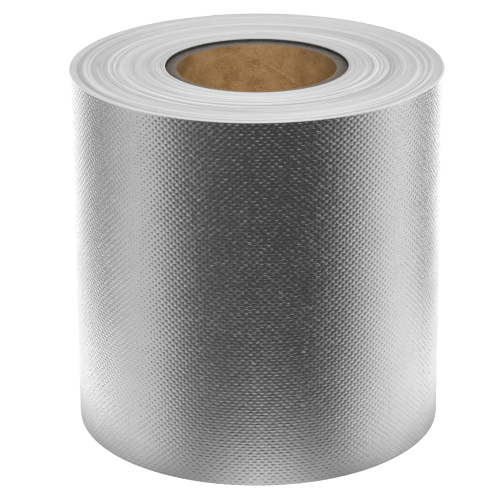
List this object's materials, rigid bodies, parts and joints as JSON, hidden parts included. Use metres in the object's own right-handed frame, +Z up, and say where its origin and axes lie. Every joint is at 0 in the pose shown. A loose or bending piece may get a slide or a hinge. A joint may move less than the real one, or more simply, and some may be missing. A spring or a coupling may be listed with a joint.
{
  "type": "duct tape roll",
  "caption": "Wide roll of foil-faced woven cloth tape on a paper core, standing on its end, with a free tape end that lifts off the roll and a release liner under it.",
  "frame": {"origin": "centre of the lower end face, on the roll's axis, on the surface that the roll stands on", "axes": "+Z up along the roll's axis; -Y towards the viewer of the picture; the free end of the tape lies at the back, from 45 to 105 degrees from +X towards +Y"},
  "size_m": [0.18, 0.18, 0.18],
  "materials": {
    "kraft_paper": "matte",
    "core_board": "matte",
    "fixing_tape": "satin",
    "wound_tape": "matte",
    "foil": "satin",
    "cloth": "matte",
    "adhesive": "satin",
    "liner": "satin"
  },
  "bodies": {
    "roll": {"core_inner_ply": "kraft_paper", "core_board_ply_1": "core_board", "core_board_ply_2": "core_board", "core_board_ply_3": "core_board", "core_board_ply_4": "core_board", "core_board_ply_5": "core_board", "core_board_ply_6": "core_board", "core_outer_ply": "kraft_paper", "core_fixing_strip": "fixing_tape", "first_turn": "wound_tape", "wound_turns": "wound_tape", "last_turn_liner": "liner", "last_turn_adhesive": "adhesive", "last_turn_cloth": "cloth", "last_turn_foil": "foil"},
    "tail_1": {"tail_adhesive_1": "adhesive", "tail_cloth_1": "cloth", "tail_foil_1": "foil"},
    "tail_2": {"tail_adhesive_2": "adhesive", "tail_cloth_2": "cloth", "tail_foil_2": "foil"},
    "tail_3": {"tail_adhesive_3": "adhesive", "tail_cloth_3": "cloth", "tail_foil_3": "foil"},
    "tail_4": {"tail_adhesive_4": "adhesive", "tail_cloth_4": "cloth", "tail_foil_4": "foil"},
    "tail_5": {"tail_adhesive_5": "adhesive", "tail_cloth_5": "cloth", "tail_foil_5": "foil"},
    "tail_6": {"tail_adhesive_6": "adhesive", "tail_cloth_6": "cloth", "tail_foil_6": "foil"},
    "liner_1": {"tail_liner_1": "liner"},
    "liner_2": {"tail_liner_2": "liner"},
    "liner_3": {"tail_liner_3": "liner"},
    "liner_4": {"tail_liner_4": "liner"},
    "liner_5": {"tail_liner_5": "liner"},
    "liner_6": {"tail_liner_6": "liner"}
  },
  "joints": [
    {"name": "tape_hinge_1", "type": "hinge", "parent": "roll", "child": "tail_1", "pos_m": [0.06364, 0.06364, 0.09], "axis": [0, 0, -1], "range_deg": [0, 15]},
    {"name": "tape_hinge_2", "type": "hinge", "parent": "tail_1", "child": "tail_2", "pos_m": [0.05162, 0.07372, 0.09], "axis": [0, 0, -1], "range_deg": [0, 15]},
    {"name": "tape_hinge_3", "type": "hinge", "parent": "tail_2", "child": "tail_3", "pos_m": [0.03804, 0.08157, 0.09], "axis": [0, 0, -1], "range_deg": [0, 15]},
    {"name": "tape_hinge_4", "type": "hinge", "parent": "tail_3", "child": "tail_4", "pos_m": [0.02329, 0.08693, 0.09], "axis": [0, 0, -1], "range_deg": [0, 15]},
    {"name": "tape_hinge_5", "type": "hinge", "parent": "tail_4", "child": "tail_5", "pos_m": [0.00784, 0.08966, 0.09], "axis": [0, 0, -1], "range_deg": [0, 15]},
    {"name": "tape_hinge_6", "type": "hinge", "parent": "tail_5", "child": "tail_6", "pos_m": [-0.00784, 0.08966, 0.09], "axis": [0, 0, -1], "range_deg": [0, 15]},
    {"name": "liner_hinge_1", "type": "hinge", "parent": "roll", "child": "liner_1", "pos_m": [0.0629, 0.0629, 0.09], "axis": [0, 0, -1], "range_deg": [0, 6]},
    {"name": "liner_hinge_2", "type": "hinge", "parent": "liner_1", "child": "liner_2", "pos_m": [0.05102, 0.07286, 0.09], "axis": [0, 0, -1], "range_deg": [0, 6]},
    {"name": "liner_hinge_3", "type": "hinge", "parent": "liner_2", "child": "liner_3", "pos_m": [0.03759, 0.08062, 0.09], "axis": [0, 0, -1], "range_deg": [0, 6]},
    {"name": "liner_hinge_4", "type": "hinge", "parent": "liner_3", "child": "liner_4", "pos_m": [0.02302, 0.08592, 0.09], "axis": [0, 0, -1], "range_deg": [0, 6]},
    {"name": "liner_hinge_5", "type": "hinge", "parent": "liner_4", "child": "liner_5", "pos_m": [0.00775, 0.08861, 0.09], "axis": [0, 0, -1], "range_deg": [0, 6]},
    {"name": "liner_hinge_6", "type": "hinge", "parent": "liner_5", "child": "liner_6", "pos_m": [-0.00775, 0.08861, 0.09], "axis": [0, 0, -1], "range_deg": [0, 6]}
  ],
  "couplings": [
    {"joint": "tape_hinge_2", "follows": "tape_hinge_1", "ratio": 1},
    {"joint": "tape_hinge_3", "follows": "tape_hinge_1", "ratio": 1},
    {"joint": "tape_hinge_4", "follows": "tape_hinge_1", "ratio": 1},
    {"joint": "tape_hinge_5", "follows": "tape_hinge_1", "ratio": 1},
    {"joint": "tape_hinge_6", "follows": "tape_hinge_1", "ratio": 1},
    {"joint": "liner_hinge_1", "follows": "tape_hinge_1", "ratio": 0.4},
    {"joint": "liner_hinge_2", "follows": "tape_hinge_1", "ratio": 0.4},
    {"joint": "liner_hinge_3", "follows": "tape_hinge_1", "ratio": 0.4},
    {"joint": "liner_hinge_4", "follows": "tape_hinge_1", "ratio": 0.4},
    {"joint": "liner_hinge_5", "follows": "tape_hinge_1", "ratio": 0.4},
    {"joint": "liner_hinge_6", "follows": "tape_hinge_1", "ratio": 0.4}
  ]
}
